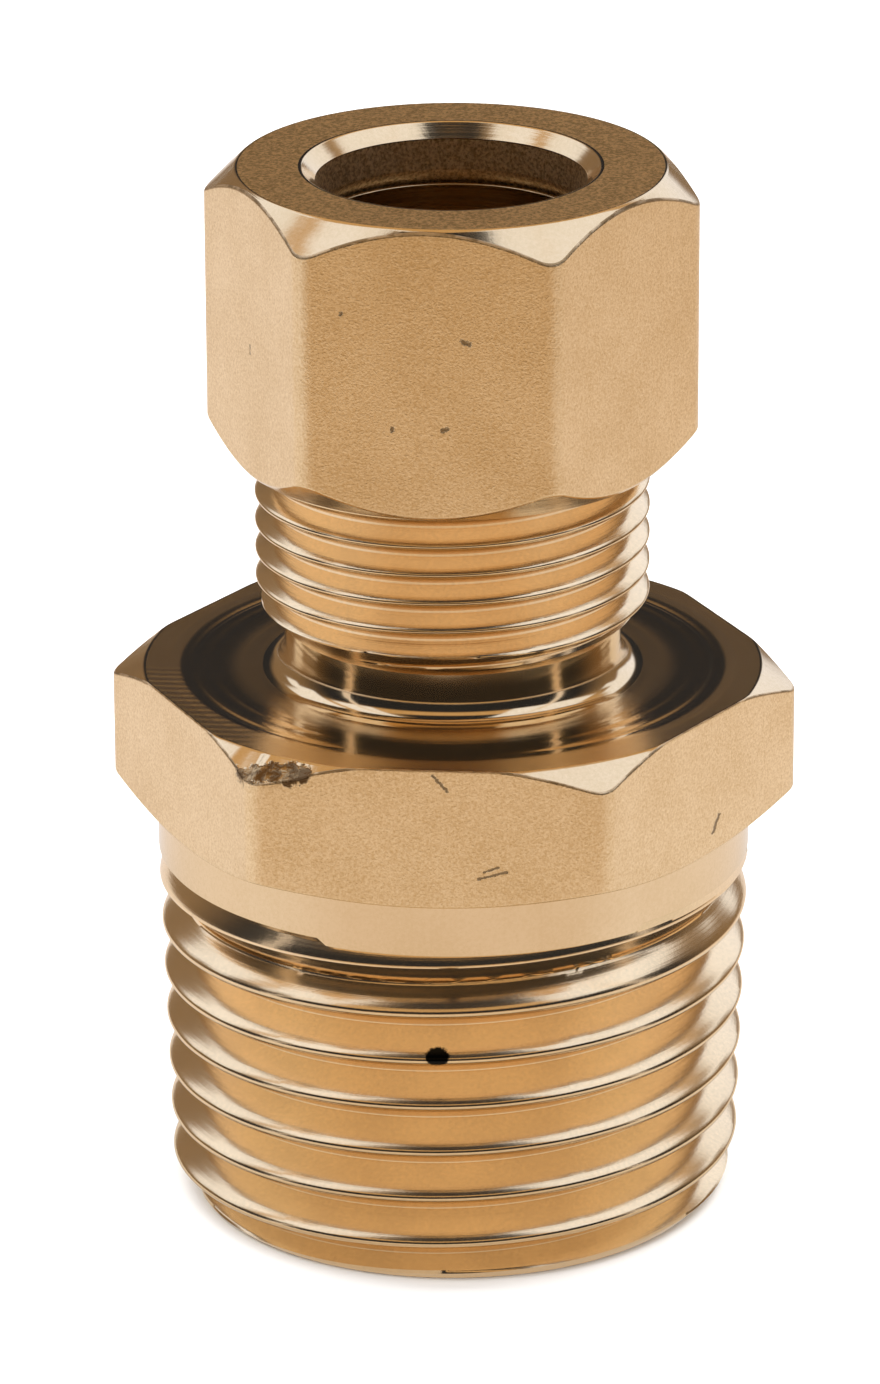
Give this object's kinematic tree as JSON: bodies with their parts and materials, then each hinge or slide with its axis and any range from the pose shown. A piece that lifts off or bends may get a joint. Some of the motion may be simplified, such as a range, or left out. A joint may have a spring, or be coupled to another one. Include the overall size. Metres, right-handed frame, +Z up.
{
  "type": "brass compression adapter",
  "caption": "Straight brass adapter from a tapered male pipe thread to a compression end for tube, with a hexagon body, a sleeve and a hexagon nut.",
  "frame": {"origin": "centre of the pipe end's flat face, on the axis", "axes": "+Z up the axis from the pipe thread to the nut's mouth, body flats facing along Y"},
  "size_m": [0.0248, 0.0218, 0.0389],
  "materials": {
    "body_brass": "satin",
    "nut_brass": "satin",
    "sleeve_brass": "bright turned"
  },
  "bodies": {
    "body": {"adapter_body": "body_brass"},
    "sleeve": {"compression_sleeve": "sleeve_brass"},
    "nut": {"compression_nut": "nut_brass"}
  },
  "joints": [
    {"name": "sleeve_slide", "type": "slide", "parent": "body", "child": "sleeve", "axis": [0, 0, 1], "range_m": [0, 0.00265]},
    {"name": "nut_turn", "type": "hinge", "parent": "sleeve", "child": "nut", "pos_m": [0, 0, 0.0336], "axis": [0, 0, 1], "range_deg": [0, 900]}
  ],
  "couplings": [
    {"joint": "sleeve_slide", "follows": "nut_turn", "m_per_rad": 0.00016844}
  ]
}
